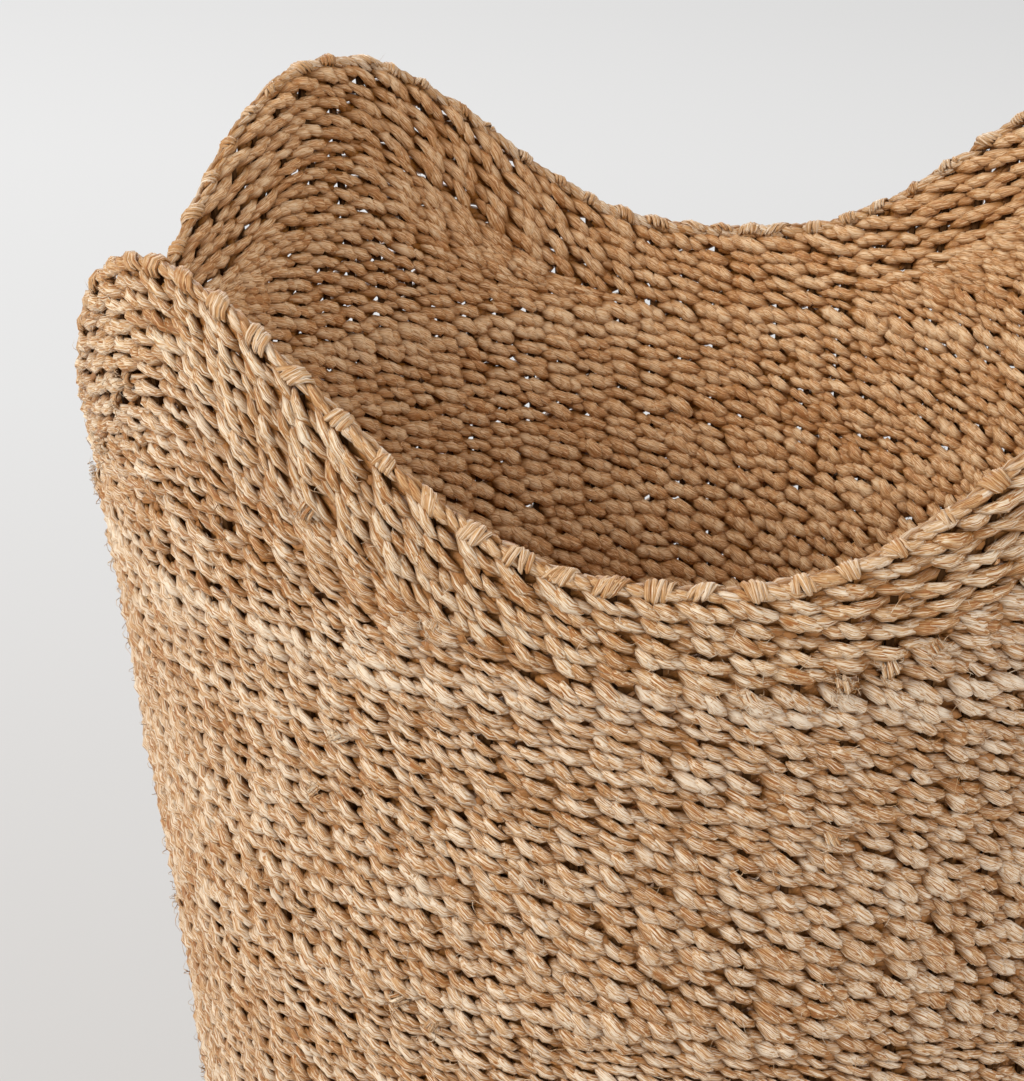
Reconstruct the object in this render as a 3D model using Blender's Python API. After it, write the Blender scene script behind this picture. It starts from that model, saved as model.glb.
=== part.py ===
"""Scalloped basket: a round twined basket whose rim rises in four scallops.

Units are metres, +Z is up, and the origin is on the floor under the middle of the
base. An angle is measured from the front (-Y) towards the right (+X). Five bundles
of stakes cross under the middle of the base, fan out, turn up at the foot and end
under the rim. The weft holds them between an outer and an inner layer of cord, and
passes from one layer to the other between two bundles.
"""

import bisect
import math

import bmesh
import bpy
from mathutils import Vector

# Overall form
RIM_RADIUS = 0.200
FOOT_RADIUS = 0.163
VALLEY_HEIGHT = 0.316
SCALLOP_RISE = 0.0724
SCALLOP_COUNT = 4
SCALLOP_POINT_SHARE = 1.437
WALL_LEAN_SHARE = 0.153

# Weft
WEAVE_THICKNESS = 0.0064
COURSE_PITCH = 0.0053
SCALLOP_COURSES = 5
TIP_HEIGHT = 0.0006
LINK_SHARE = 0.25
MOST_STAKES_PER_FACET = 2.5

# Stakes
BUNDLE_COUNT = 5
STAKES_PER_END = 10
STAKE_WIDTH = 0.0022
STAKE_THICKNESS = 0.0018
STAKE_PLAY = 0.0009
STRAP_WIDTH = 0.018
STRAP_THICKNESS = 0.0012
STRAP_STEP_RUN = 0.006
FAN_SPREAD_SHARE = 0.92

# Base and foot
BASE_LIFT = 0.003
FOOT_TURN = 0.010
FOOT_FLAT = 0.0055
FOOT_FLAT_START = 0.0015

# Rim
RIM_CORD_WIDTH = 0.0040
RIM_CORD_HEIGHT = 0.0038
RIM_KNOT_WIDTH = 0.0066
RIM_KNOT_HEIGHT = 0.0058
RIM_FLAT_SHARE = 0.5

# Clearance between two pieces that bear on each other
SEAT = 0.0003

# Values that follow from the sizes above
ENDS = 2 * BUNDLE_COUNT
END_ANGLE = math.tau / ENDS
STAKE_ANGLE = END_ANGLE / STAKES_PER_END
CREST_ANGLE = math.pi / SCALLOP_COUNT
MIDDLE_STAKE = (STAKES_PER_END - 1) / 2
HALF_WEAVE = WEAVE_THICKNESS / 2
HALF_POCKET = STAKE_THICKNESS / 2 + STAKE_PLAY
BASE_LEVEL = BASE_LIFT + HALF_WEAVE
FOOT_TOP = BASE_LEVEL + FOOT_TURN
WALL_TOP = VALLEY_HEIGHT - SCALLOP_COURSES * COURSE_PITCH
WALL_MIDDLE = (FOOT_TOP + WALL_TOP) / 2
WALL_BEND = (FOOT_RADIUS - RIM_RADIUS + WALL_LEAN_SHARE * VALLEY_HEIGHT) / VALLEY_HEIGHT**2
STRAP_REACH = (STRAP_WIDTH / 2 + SEAT) / math.tan(END_ANGLE / 2)
EYE_RADIUS = STRAP_REACH + STRAP_STEP_RUN
FAN_RADIUS = (STAKE_WIDTH + SEAT) / (STAKE_ANGLE * FAN_SPREAD_SHARE)

# Colours are linear, as seen on the sunlit fibre
WEFT_COLOUR = (0.47, 0.30, 0.165)
CREST_COLOUR = (0.50, 0.32, 0.175)
STAKE_COLOUR = (0.40, 0.24, 0.12)
FOOT_COLOUR = (0.42, 0.26, 0.14)
RIM_COLOUR = (0.44, 0.28, 0.155)
FIBRE_ROUGHNESS = 0.62


def clear_scene():
    """Remove whatever the open file holds."""
    for old in list(bpy.data.objects):
        bpy.data.objects.remove(old, do_unlink=True)


def fibre(name, colour):
    """A plain fibre material."""
    material = bpy.data.materials.new(name)
    material.use_nodes = True
    shader = material.node_tree.nodes["Principled BSDF"]
    shader.inputs["Base Color"].default_value = (*colour, 1.0)
    shader.inputs["Roughness"].default_value = FIBRE_ROUGHNESS
    shader.inputs["Metallic"].default_value = 0.0
    material.diffuse_color = (*colour, 1.0)
    return material


# The form that the basket is woven over

def spot(angle, radius, height):
    """A point by its angle from the front, its radius and its height."""
    return Vector((radius * math.sin(angle), -radius * math.cos(angle), height))


def wall_radius(height):
    """Radius of the stakes' middle line, which leans out and flares to the rim."""
    drop = height - VALLEY_HEIGHT
    return RIM_RADIUS + WALL_LEAN_SHARE * drop + WALL_BEND * drop**2


def scallop_lift(angle):
    """Height of the rim over its low points."""
    wave = (1 + math.cos(SCALLOP_COUNT * (angle - CREST_ANGLE))) / 2
    return SCALLOP_RISE * wave**SCALLOP_POINT_SHARE


def row_stretch(angle):
    """How much taller a row of even thickness stands on a sloping stretch."""
    turn = SCALLOP_COUNT * (angle - CREST_ANGLE)
    wave = (1 + math.cos(turn)) / 2
    lean = wave ** (SCALLOP_POINT_SHARE - 1) * math.sin(turn) * SCALLOP_COUNT / 2
    slope = SCALLOP_RISE * SCALLOP_POINT_SHARE * lean / RIM_RADIUS
    return math.hypot(1, slope)


def row_height(angle, rows, gap=0.0):
    """Height of the line that lies so many scalloped rows, and a gap, under the rim."""
    depth = rows * COURSE_PITCH + gap
    return VALLEY_HEIGHT + scallop_lift(angle) - depth * row_stretch(angle)


def facet_places():
    """Corners of the wall's facets along one end of a bundle, counted in stakes."""
    count = math.ceil(STAKES_PER_END / MOST_STAKES_PER_FACET)
    between = [STAKES_PER_END * step / count for step in range(1, count)]
    return [LINK_SHARE, *between, STAKES_PER_END - LINK_SHARE]


def facet_angles():
    """Angles of the wall's facets, and which facets are links between two bundles."""
    places = facet_places()
    angles = []
    links = []
    for end in range(ENDS):
        start = (end - 0.5) * END_ANGLE
        angles += [start + place * STAKE_ANGLE for place in places]
        links += [False] * (len(places) - 1) + [True]
    return angles, links


FACETS, LINKS = facet_angles()


def on_facets(angle, height_at):
    """A height read along the straight facets rather than on the true curve."""
    turned = (angle - FACETS[0]) % math.tau + FACETS[0]
    after = bisect.bisect_right(FACETS, turned)
    low = FACETS[after - 1]
    high = FACETS[after] if after < len(FACETS) else FACETS[0] + math.tau
    share = (turned - low) / (high - low)
    return (1 - share) * height_at(low) + share * height_at(high)


# Lofts

def finish(name, mesh_data, material):
    """Turn a finished bmesh into a named object with flat facets."""
    bmesh.ops.recalc_face_normals(mesh_data, faces=mesh_data.faces)
    mesh = bpy.data.meshes.new(name)
    mesh_data.to_mesh(mesh)
    mesh_data.free()
    mesh.materials.append(material)
    piece = bpy.data.objects.new(name, mesh)
    bpy.context.collection.objects.link(piece)
    return piece


def strip(mesh_data, first, second):
    """Faces between two chains of as many vertices each."""
    for step in range(len(first) - 1):
        mesh_data.faces.new((first[step], first[step + 1], second[step + 1], second[step]))


def loft_weave(name, sections, links, closed, material):
    """Loft a stretch of weave through its sections.

    A section has four chains, each from the lower edge to the upper one: the outer
    face, the outer and the inner wall of the pocket that holds the stakes, and the
    inner face. In a facet that is a link the pocket is filled.
    """
    weave = bmesh.new()
    rows = [[[weave.verts.new(point) for point in chain] for chain in section] for section in sections]
    count = len(rows)
    facets = count if closed else count - 1
    for facet in range(facets):
        outer, near, far, inner = rows[facet]
        next_outer, next_near, next_far, next_inner = rows[(facet + 1) % count]
        strip(weave, outer, next_outer)
        strip(weave, inner, next_inner)
        for edge in (0, -1):
            weave.faces.new((outer[edge], near[edge], next_near[edge], next_outer[edge]))
            weave.faces.new((inner[edge], far[edge], next_far[edge], next_inner[edge]))
            if links[facet]:
                weave.faces.new((near[edge], far[edge], next_far[edge], next_near[edge]))
        if not links[facet]:
            strip(weave, near, next_near)
            strip(weave, far, next_far)
    for station in range(count):
        outer, near, far, inner = rows[station]
        before = links[station - 1] if closed or station > 0 else None
        after = links[station] if closed or station < facets else None
        if None not in (before, after):
            if before != after:
                weave.faces.new((*near, *reversed(far)))
        elif before or after:
            weave.faces.new((*outer, near[-1], far[-1], *reversed(inner), far[0], near[0]))
        else:
            weave.faces.new((*outer, *reversed(near)))
            weave.faces.new((*inner, *reversed(far)))
    return finish(name, weave, material)


def loft_loops(name, loops, material):
    """Loft closed loops of as many points each into a ring."""
    ring = bmesh.new()
    rows = [[ring.verts.new(point) for point in loop] for loop in loops]
    for here, beyond in zip(rows, rows[1:] + rows[:1]):
        strip(ring, [*here, here[0]], [*beyond, beyond[0]])
    return finish(name, ring, material)


# Weft of the base, the foot and the wall

def base_section(angle):
    """The flat base, from its eye to the foot."""
    start = EYE_RADIUS + SEAT
    end = wall_radius(FOOT_TOP) - FOOT_TURN - SEAT
    return [
        [spot(angle, radius, BASE_LEVEL + offset) for radius in (start, end)]
        for offset in (-HALF_WEAVE, -HALF_POCKET, HALF_POCKET, HALF_WEAVE)
    ]


def foot_section(angle):
    """The heavy course at the turn, with the flat that the basket stands on."""
    top_radius = wall_radius(FOOT_TOP)
    start = top_radius - FOOT_TURN
    flat = start + FOOT_FLAT_START
    top = FOOT_TOP - SEAT
    outer = [
        spot(angle, start, BASE_LEVEL - HALF_WEAVE),
        spot(angle, flat, 0),
        spot(angle, flat + FOOT_FLAT, 0),
        spot(angle, top_radius + HALF_WEAVE, top),
    ]
    near = [spot(angle, start, BASE_LEVEL - HALF_POCKET), spot(angle, top_radius + HALF_POCKET, top)]
    far = [spot(angle, start, BASE_LEVEL + HALF_POCKET), spot(angle, top_radius - HALF_POCKET, top)]
    inner = [spot(angle, start, BASE_LEVEL + HALF_WEAVE), spot(angle, top_radius - HALF_WEAVE, top)]
    return [outer, near, far, inner]


def upright_section(angle, heights):
    """A stretch of the wall through the given heights."""
    return [
        [spot(angle, wall_radius(height) + offset, height) for height in heights]
        for offset in (HALF_WEAVE, HALF_POCKET, -HALF_POCKET, -HALF_WEAVE)
    ]


def course_section(angle, row):
    """One scalloped course, with a ridge outside and inside where the cord bulges."""
    heights = (row_height(angle, row), row_height(angle, row - 1, SEAT))
    ridge = sum(heights) / 2
    near = [spot(angle, wall_radius(height) + HALF_POCKET, height) for height in heights]
    far = [spot(angle, wall_radius(height) - HALF_POCKET, height) for height in heights]
    outer = [spot(angle, wall_radius(ridge) + HALF_WEAVE, ridge)]
    inner = [spot(angle, wall_radius(ridge) - HALF_WEAVE, ridge)]
    return [outer, near, far, inner]


def peak_section(angle):
    """The short rows under a scallop, between the wall and the scalloped courses."""
    return upright_section(angle, (WALL_TOP, row_height(angle, SCALLOP_COURSES, SEAT)))


def peak_room(section):
    """Height of a section of the short rows, which is below zero in the low points."""
    outer = section[0]
    return outer[-1].z - outer[0].z


def blend_sections(first, second, share):
    """A section that lies on the straight facet between two others."""
    return [
        [a.lerp(b, share) for a, b in zip(chain, next_chain)]
        for chain, next_chain in zip(first, second)
    ]


def tip_section(low, high):
    """The end of the short rows, where they have room for the tip's height."""
    share = (TIP_HEIGHT - peak_room(low)) / (peak_room(high) - peak_room(low))
    return blend_sections(low, high, share)


def make_wall(material):
    """The horizontal rows, from the foot to the lowest scalloped course."""
    heights = (FOOT_TOP, WALL_MIDDLE, WALL_TOP - SEAT)
    sections = [upright_section(angle, heights) for angle in FACETS]
    return loft_weave("wall_weave", sections, LINKS, True, material)


def make_peak(index, material):
    """The short rows that fill one scallop, with a tip at each end."""
    middle = CREST_ANGLE + index * math.tau / SCALLOP_COUNT
    half = math.pi / SCALLOP_COUNT + STAKE_ANGLE / 2
    sections = []
    links = []
    for lap in (0, math.tau):
        for angle, link in zip(FACETS, LINKS):
            if abs(angle + lap - middle) <= half:
                sections.append(peak_section(angle + lap))
                links.append(link)
    while peak_room(sections[1]) < TIP_HEIGHT:
        sections.pop(0)
        links.pop(0)
    while peak_room(sections[-2]) < TIP_HEIGHT:
        sections.pop()
        links.pop()
    sections[0] = tip_section(sections[0], sections[1])
    sections[-1] = tip_section(sections[-1], sections[-2])
    return loft_weave(f"peak_weave_{index + 1}", sections, links, False, material)


def make_course(row, material):
    """One scalloped course that follows the rim all round."""
    sections = [course_section(angle, row) for angle in FACETS]
    return loft_weave(f"scallop_course_{row}", sections, LINKS, True, material)


# Rim

def rim_loop(angle, width, height):
    """A section of the rim on the top course, flat below and rounded above."""
    bottom = on_facets(angle, lambda place: row_height(place, 0))
    tall = height * row_stretch(angle)
    radius = wall_radius(bottom)
    flat = width / 2 * RIM_FLAT_SHARE
    outline = (
        (-flat, 0),
        (flat, 0),
        (width / 2, tall / 2),
        (flat, tall),
        (-flat, tall),
        (-width / 2, tall / 2),
    )
    return [spot(angle, radius + out, bottom + up) for out, up in outline]


def rim_size(place):
    """Width and height of the rim, which swells from the cord to a knot at a stake."""
    knot = 1 - abs(2 * (place % 1) - 1)
    width = (1 - knot) * RIM_CORD_WIDTH + knot * RIM_KNOT_WIDTH
    height = (1 - knot) * RIM_CORD_HEIGHT + knot * RIM_KNOT_HEIGHT
    return width, height


def make_rim(material):
    """The rim cord, with the knot of a stake end at every stake."""
    half_places = [step / 2 for step in range(2 * STAKES_PER_END)]
    places = sorted({*facet_places(), *half_places})
    loops = []
    for end in range(ENDS):
        start = (end - 0.5) * END_ANGLE
        for place in places:
            loops.append(rim_loop(start + place * STAKE_ANGLE, *rim_size(place)))
    return loft_loops("rim_cord", loops, material)


# Stakes

def cross_loop(centre, across, through):
    """Four corners round a point of a stake: left and right, each outside and inside."""
    return [
        centre - across - through,
        centre + across - through,
        centre + across + through,
        centre - across + through,
    ]


def stake_loops(middle, place):
    """Sections of one stake from the fan to the rim, place counting from the bundle's middle."""
    angle = middle + place * STAKE_ANGLE
    turn_radius = wall_radius(FOOT_TOP) - FOOT_TURN
    flat = (
        (middle + place * STAKE_ANGLE * FAN_SPREAD_SHARE, FAN_RADIUS),
        (angle, turn_radius),
    )
    loops = []
    for bearing, radius in flat:
        across = spot(bearing + math.pi / 2, STAKE_WIDTH / 2, 0)
        through = Vector((0, 0, STAKE_THICKNESS / 2))
        loops.append(cross_loop(spot(bearing, radius, BASE_LEVEL), across, through))
    for height in (FOOT_TOP, WALL_MIDDLE, WALL_TOP):
        across = spot(angle + math.pi / 2, STAKE_WIDTH / 2, 0)
        through = spot(angle, -STAKE_THICKNESS / 2, 0)
        loops.append(cross_loop(spot(angle, wall_radius(height), height), across, through))
    loops.append(stake_end(angle))
    return loops


def stake_end(angle):
    """The top of a stake, cut along the slope of the rim above it."""
    half = STAKE_WIDTH / 2 / RIM_RADIUS
    corners = []
    for bearing, out in ((-half, 1), (half, 1), (half, -1), (-half, -1)):
        height = on_facets(angle + bearing, lambda place: row_height(place, 0, SEAT))
        radius = wall_radius(height) + out * STAKE_THICKNESS / 2
        corners.append(spot(angle + bearing, radius, height))
    return corners


def strap_loop(middle, reach, level, thickness):
    """A section of the flat strap that a bundle makes across the middle of the base."""
    centre = spot(middle, reach, level)
    across = spot(middle + math.pi / 2, STRAP_WIDTH / 2, 0)
    return cross_loop(centre, across, Vector((0, 0, thickness / 2)))


def add_loop_faces(mesh_data, first, second):
    """A tube of four sides between two loops."""
    strip(mesh_data, [*first, first[0]], [*second, second[0]])


def add_fan(mesh_data, root, middle):
    """The stakes of one end of a bundle, which leave the strap side by side."""
    stakes = []
    for index in range(STAKES_PER_END):
        loops = stake_loops(middle, index - MIDDLE_STAKE)
        stakes.append([[mesh_data.verts.new(point) for point in loop] for loop in loops])
    for loops in stakes:
        for here, beyond in zip(loops, loops[1:]):
            add_loop_faces(mesh_data, here, beyond)
        mesh_data.faces.new(loops[-1])
    under = [corner for loops in stakes for corner in loops[0][:2]]
    over = [corner for loops in stakes for corner in (loops[0][3], loops[0][2])]
    mesh_data.faces.new((root[0], *under, root[1]))
    mesh_data.faces.new((root[3], *over, root[2]))
    mesh_data.faces.new((root[0], root[3], over[0], under[0]))
    mesh_data.faces.new((root[1], root[2], over[-1], under[-1]))
    for step in range(1, len(under) - 1, 2):
        mesh_data.faces.new((under[step], under[step + 1], over[step + 1], over[step]))


def make_bundle(index, material):
    """One bundle: a strap across the base that fans out into stakes at both ends."""
    bundle = bmesh.new()
    middle = index * END_ANGLE
    level_step = STRAP_THICKNESS + SEAT
    level = BASE_LEVEL + (index - (BUNDLE_COUNT - 1) / 2) * level_step
    strap = [
        strap_loop(middle, -EYE_RADIUS, BASE_LEVEL, STAKE_THICKNESS),
        strap_loop(middle, -STRAP_REACH, level, STRAP_THICKNESS),
        strap_loop(middle, STRAP_REACH, level, STRAP_THICKNESS),
        strap_loop(middle, EYE_RADIUS, BASE_LEVEL, STAKE_THICKNESS),
    ]
    rows = [[bundle.verts.new(point) for point in loop] for loop in strap]
    for here, beyond in zip(rows, rows[1:]):
        add_loop_faces(bundle, here, beyond)
    add_fan(bundle, rows[-1], middle)
    left, right, right_top, left_top = rows[0]
    add_fan(bundle, [right, left, left_top, right_top], middle + math.pi)
    return finish(f"stake_bundle_{index + 1}", bundle, material)


def build():
    """Make every piece of the basket."""
    clear_scene()
    weft = fibre("weft_fibre", WEFT_COLOUR)
    crest = fibre("scallop_fibre", CREST_COLOUR)
    stake = fibre("stake_fibre", STAKE_COLOUR)
    foot = fibre("foot_fibre", FOOT_COLOUR)
    rim = fibre("rim_fibre", RIM_COLOUR)
    for index in range(BUNDLE_COUNT):
        make_bundle(index, stake)
    loft_weave("base_weave", [base_section(angle) for angle in FACETS], LINKS, True, weft)
    loft_weave("foot_course", [foot_section(angle) for angle in FACETS], LINKS, True, foot)
    make_wall(weft)
    for index in range(SCALLOP_COUNT):
        make_peak(index, weft)
    for row in range(SCALLOP_COURSES, 0, -1):
        make_course(row, crest)
    make_rim(rim)


build()
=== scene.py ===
"""Looks of the scalloped basket: every stitch of its twining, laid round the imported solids.

Units are metres and +Z is up. An angle is measured from the front (-Y) towards the right
(+X). A level is a height on the wall; below the foot it goes on as the distance down the
turn and in along the base. A stitch is what one cord shows between two crossings, and each
stitch is a few plies, copies of one leaf that is modelled once. A value called a spread is
two shares: how far something may fall short of its usual size and how far it may pass it.
A value called a sway is a standard deviation.
"""

import logging
import math
from collections.abc import Callable
from dataclasses import dataclass, field
from enum import Enum
from functools import partial

import bmesh
import bpy
import numpy as np
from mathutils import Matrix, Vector


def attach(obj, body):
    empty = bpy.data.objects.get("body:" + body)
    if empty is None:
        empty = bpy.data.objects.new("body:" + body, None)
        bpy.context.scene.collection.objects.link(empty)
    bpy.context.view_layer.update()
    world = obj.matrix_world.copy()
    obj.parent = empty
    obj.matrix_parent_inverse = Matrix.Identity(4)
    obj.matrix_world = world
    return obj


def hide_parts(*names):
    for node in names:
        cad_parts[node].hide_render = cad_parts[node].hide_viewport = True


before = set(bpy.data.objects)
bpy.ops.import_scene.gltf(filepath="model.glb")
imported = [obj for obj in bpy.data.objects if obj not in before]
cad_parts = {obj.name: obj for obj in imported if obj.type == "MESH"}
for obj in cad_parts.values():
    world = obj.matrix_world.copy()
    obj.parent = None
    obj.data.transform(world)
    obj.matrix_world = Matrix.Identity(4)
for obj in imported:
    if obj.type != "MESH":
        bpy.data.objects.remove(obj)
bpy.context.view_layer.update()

LOG = logging.getLogger("scalloped_basket")

Array = np.ndarray
Triple = tuple[float, float, float]
Colour = Triple
Span = tuple[float, float]
Level = Callable[[Array], Array]
Random = np.random.Generator

MM = 0.001
TINY = 1e-12
BODY = "root"
BAKE_MAP = "OFBake"
SEED = 20260


class Side(Enum):
    """The face of the weave that a stitch shows on."""

    OUTSIDE = 1
    INSIDE = -1


class Draw(Enum):
    """What draws random numbers of its own, and how far its seed lies from the first one."""

    WAVES = 0
    WALL = 1
    COURSES = 2
    FOOT = 3
    BASE = 4
    RIM = 5
    RIM_CORD = 6
    LOOSE_ENDS = 7
    PEAKS = 10
    BANDS = 50

    def random(self, further: int = 0) -> Random:
        """A generator that gives the same numbers on every run."""
        return np.random.default_rng(SEED + self.value + further)


def unit(vectors: Array) -> Array:
    """Vectors with the same directions and a length of one."""
    return vectors / (np.linalg.norm(vectors, axis=-1, keepdims=True) + TINY)


def about_one(
    random: Random, spread: Span, shape: int | tuple[int, ...], amount: float = 1.0
) -> Array:
    """Factors for sizes that differ.

    Args:
        random: source of the factors.
        spread: how far they fall short of one and pass it.
        shape: how many are wanted.
        amount: share of the spread that is used.

    Returns:
        The factors.
    """
    return random.uniform(1 - spread[0] * amount, 1 + spread[1] * amount, shape)


# The form that the basket is woven over


@dataclass(frozen=True)
class BasketForm:
    """The middle surface of the weave, from the centre of the base to the rim."""

    rim_radius: float = 0.200
    foot_radius: float = 0.163
    valley_height: float = 0.316
    scallop_rise: float = 0.0724
    scallops: int = 4
    point_share: float = 1.437
    lean_share: float = 0.153
    base_level: float = 0.0062
    foot_turn: float = 0.010
    stakes: int = 100
    course_pitch: float = 0.0053
    courses: int = 5

    @property
    def stake_angle(self) -> float:
        """Angle between two stakes."""
        return math.tau / self.stakes

    @property
    def foot_top(self) -> float:
        """Level where the turn of the foot meets the wall."""
        return self.base_level + self.foot_turn

    @property
    def wall_top(self) -> float:
        """Level of the top of the horizontal rows."""
        return self.valley_height - self.courses * self.course_pitch

    @property
    def turn_length(self) -> float:
        """Length of the turn of the foot along the weave."""
        return self.foot_turn * math.pi / 2

    @property
    def base_edge(self) -> float:
        """Radius where the flat base meets the turn of the foot."""
        return float(self.radius(self.foot_top)) - self.foot_turn

    def base_row_level(self, radius: float) -> float:
        """Level of a row of the base at the given radius."""
        return self.foot_top - self.turn_length - (self.base_edge - radius)

    def bend(self) -> float:
        """How fast the wall's flare grows."""
        reach = self.foot_radius - self.rim_radius + self.lean_share * self.valley_height
        return reach / self.valley_height**2

    def radius(self, level: Array | float) -> Array | float:
        """Radius of the wall at a level."""
        drop = level - self.valley_height
        return self.rim_radius + self.lean_share * drop + self.bend() * drop**2

    def slope(self, level: Array | float) -> Array | float:
        """How much the radius grows with the level."""
        return self.lean_share + 2 * self.bend() * (level - self.valley_height)

    def lift(self, angle: Array) -> Array:
        """Height of the rim over its low points."""
        wave = (1 + np.cos(self.scallops * angle - math.pi)) / 2
        return self.scallop_rise * wave**self.point_share

    def stretch(self, angle: Array) -> Array:
        """How much taller a row of even thickness stands on a sloping stretch.

        Args:
            angle: angles from the front.

        Returns:
            A factor at each angle.
        """
        turn = self.scallops * angle - math.pi
        wave = (1 + np.cos(turn)) / 2
        lean = wave ** (self.point_share - 1) * np.sin(turn) * self.scallops / 2
        return np.hypot(1, self.scallop_rise * self.point_share * lean / self.rim_radius)

    def under_rim(self, angle: Array, depth: float) -> Array:
        """Level of the line that lies a depth under the top of the weave."""
        return self.valley_height + self.lift(angle) - depth * self.stretch(angle)

    def place(self, angle: Array, level: Array, out: Array) -> Array:
        """Points over the weave's middle surface.

        Args:
            angle: angles from the front.
            level: levels along the weave.
            out: distances out of the surface, negative towards the inside.

        Returns:
            An array of the same shape with a last axis of three coordinates.
        """
        size = np.hypot(1, self.slope(level))
        wall_radius = self.radius(level) + out / size
        wall_height = level - out * self.slope(level) / size
        down = self.foot_top - level
        turn = np.clip(down / self.foot_turn, 0, math.pi / 2)
        run = np.maximum(down - self.turn_length, 0)
        foot_radius = self.base_edge - run + (self.foot_turn + out) * np.cos(turn)
        foot_height = self.foot_top - (self.foot_turn + out) * np.sin(turn)
        on_wall = down <= 0
        radius = np.where(on_wall, wall_radius, foot_radius)
        height = np.where(on_wall, wall_height, foot_height)
        return np.stack([radius * np.sin(angle), -radius * np.cos(angle), height], axis=-1)


@dataclass
class Row:
    """One row of twining: where it runs and which stakes it passes."""

    level: Level
    centres: Array
    pitch: float
    size: Array
    tone: Array

# Shapes that are modelled once


@dataclass(frozen=True)
class Shape:
    """A small closed mesh, along Z from -1 to 1, that is copied along many paths."""

    points: Array
    faces: list[tuple[int, ...]]
    map: Array

    @property
    def stops(self) -> Array:
        """The different places of its points along Z."""
        return np.unique(np.round(self.points[:, 2], 4))

    @property
    def triangles(self) -> int:
        """How many triangles one copy has."""
        return sum(len(face) - 2 for face in self.faces)


@dataclass(frozen=True)
class Workbench:
    """Models the small shapes with Blender's own operators."""

    belt: Span = (0.45, 0.95)
    blunt_radius: float = 0.35
    on_axis: float = 1e-5
    widest_turn: float = 1.5

    @staticmethod
    def clear_selection() -> None:
        """Deselect everything, so that an operator acts on the new mesh alone."""
        for item in list(bpy.context.selected_objects):
            item.select_set(False)

    def unwrap(self, points: Array, faces: list[tuple[int, ...]]) -> Array:
        """Map a shape by the turn round it and the way along it.

        Args:
            points: its points.
            faces: the points of each face.

        Returns:
            A place on the map for every corner of every face.
        """
        corners = []
        low, high = points[:, 2].min(), points[:, 2].max()
        for face in faces:
            x, y, z = points[list(face)].T
            turns = np.arctan2(y, x) / math.tau + 0.5
            pole = np.hypot(x, y) < self.on_axis
            if np.ptp(turns[~pole]) > 0.5:
                turns = np.where(turns < 0.5, turns + 1, turns)
            turns = np.where(pole, turns[~pole].mean(), turns)
            corners.append(np.stack([turns / self.widest_turn, (z - low) / (high - low)], axis=-1))
        return np.concatenate(corners)

    def take(self) -> Shape:
        """Read the active mesh as a shape and remove its object.

        Returns:
            The shape, with its faces sorted, because Blender's order changes from run to run.
        """
        item = bpy.context.view_layer.objects.active
        mesh = item.data
        points = np.array([vertex.co for vertex in mesh.vertices])
        faces = sorted(tuple(face.vertices) for face in mesh.polygons)
        bpy.data.objects.remove(item, do_unlink=True)
        bpy.data.meshes.remove(mesh)
        return Shape(points, faces, self.unwrap(points, faces))

    def leaf(self, sides: int, rings: int, fullness: float) -> Shape:
        """A ply between two crossings: a leaf that is full in the middle.

        Args:
            sides: how many sides it has round it.
            rings: how many stretches it has along it.
            fullness: how full it is near its ends, 1 on a ball.

        Returns:
            The shape, one unit in radius and two long.
        """
        self.clear_selection()
        bpy.ops.mesh.primitive_uv_sphere_add(segments=sides, ring_count=rings, radius=1)
        bpy.ops.object.mode_set(mode="EDIT")
        item = bpy.context.view_layer.objects.active
        bpy.ops.mesh.select_all(action="DESELECT")
        edit = bmesh.from_edit_mesh(item.data)
        for vertex in edit.verts:
            vertex.select = self.belt[0] < abs(vertex.co.z) < self.belt[1]
        edit.select_flush_mode()
        bmesh.update_edit_mesh(item.data)
        bpy.ops.transform.resize(value=(fullness, fullness, 1), center_override=(0, 0, 0))
        bpy.ops.object.mode_set(mode="OBJECT")
        return self.take()

    def hair(self, stretches: int) -> Shape:
        """A stray fibre of three sides, with a blunt far end.

        Args:
            stretches: how many stretches it has along it.

        Returns:
            The shape, one unit in radius and two long.
        """
        self.clear_selection()
        bpy.ops.mesh.primitive_cone_add(
            vertices=3, radius1=1, radius2=0, depth=2, end_fill_type="NGON",
        )
        bpy.ops.object.mode_set(mode="EDIT")
        item = bpy.context.view_layer.objects.active
        for cut in range(1, stretches):
            bpy.ops.mesh.select_all(action="SELECT")
            level = 1 - 2 * cut / stretches
            bpy.ops.mesh.bisect(plane_co=(0, 0, level), plane_no=(0, 0, 1))
        edit = bmesh.from_edit_mesh(item.data)
        for vertex in edit.verts:
            radius = math.hypot(vertex.co.x, vertex.co.y)
            if radius > 0:
                fuller = max(radius, self.blunt_radius) / radius
                vertex.co.x *= fuller
                vertex.co.y *= fuller
        bmesh.update_edit_mesh(item.data)
        bpy.ops.object.mode_set(mode="OBJECT")
        return self.take()


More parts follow.
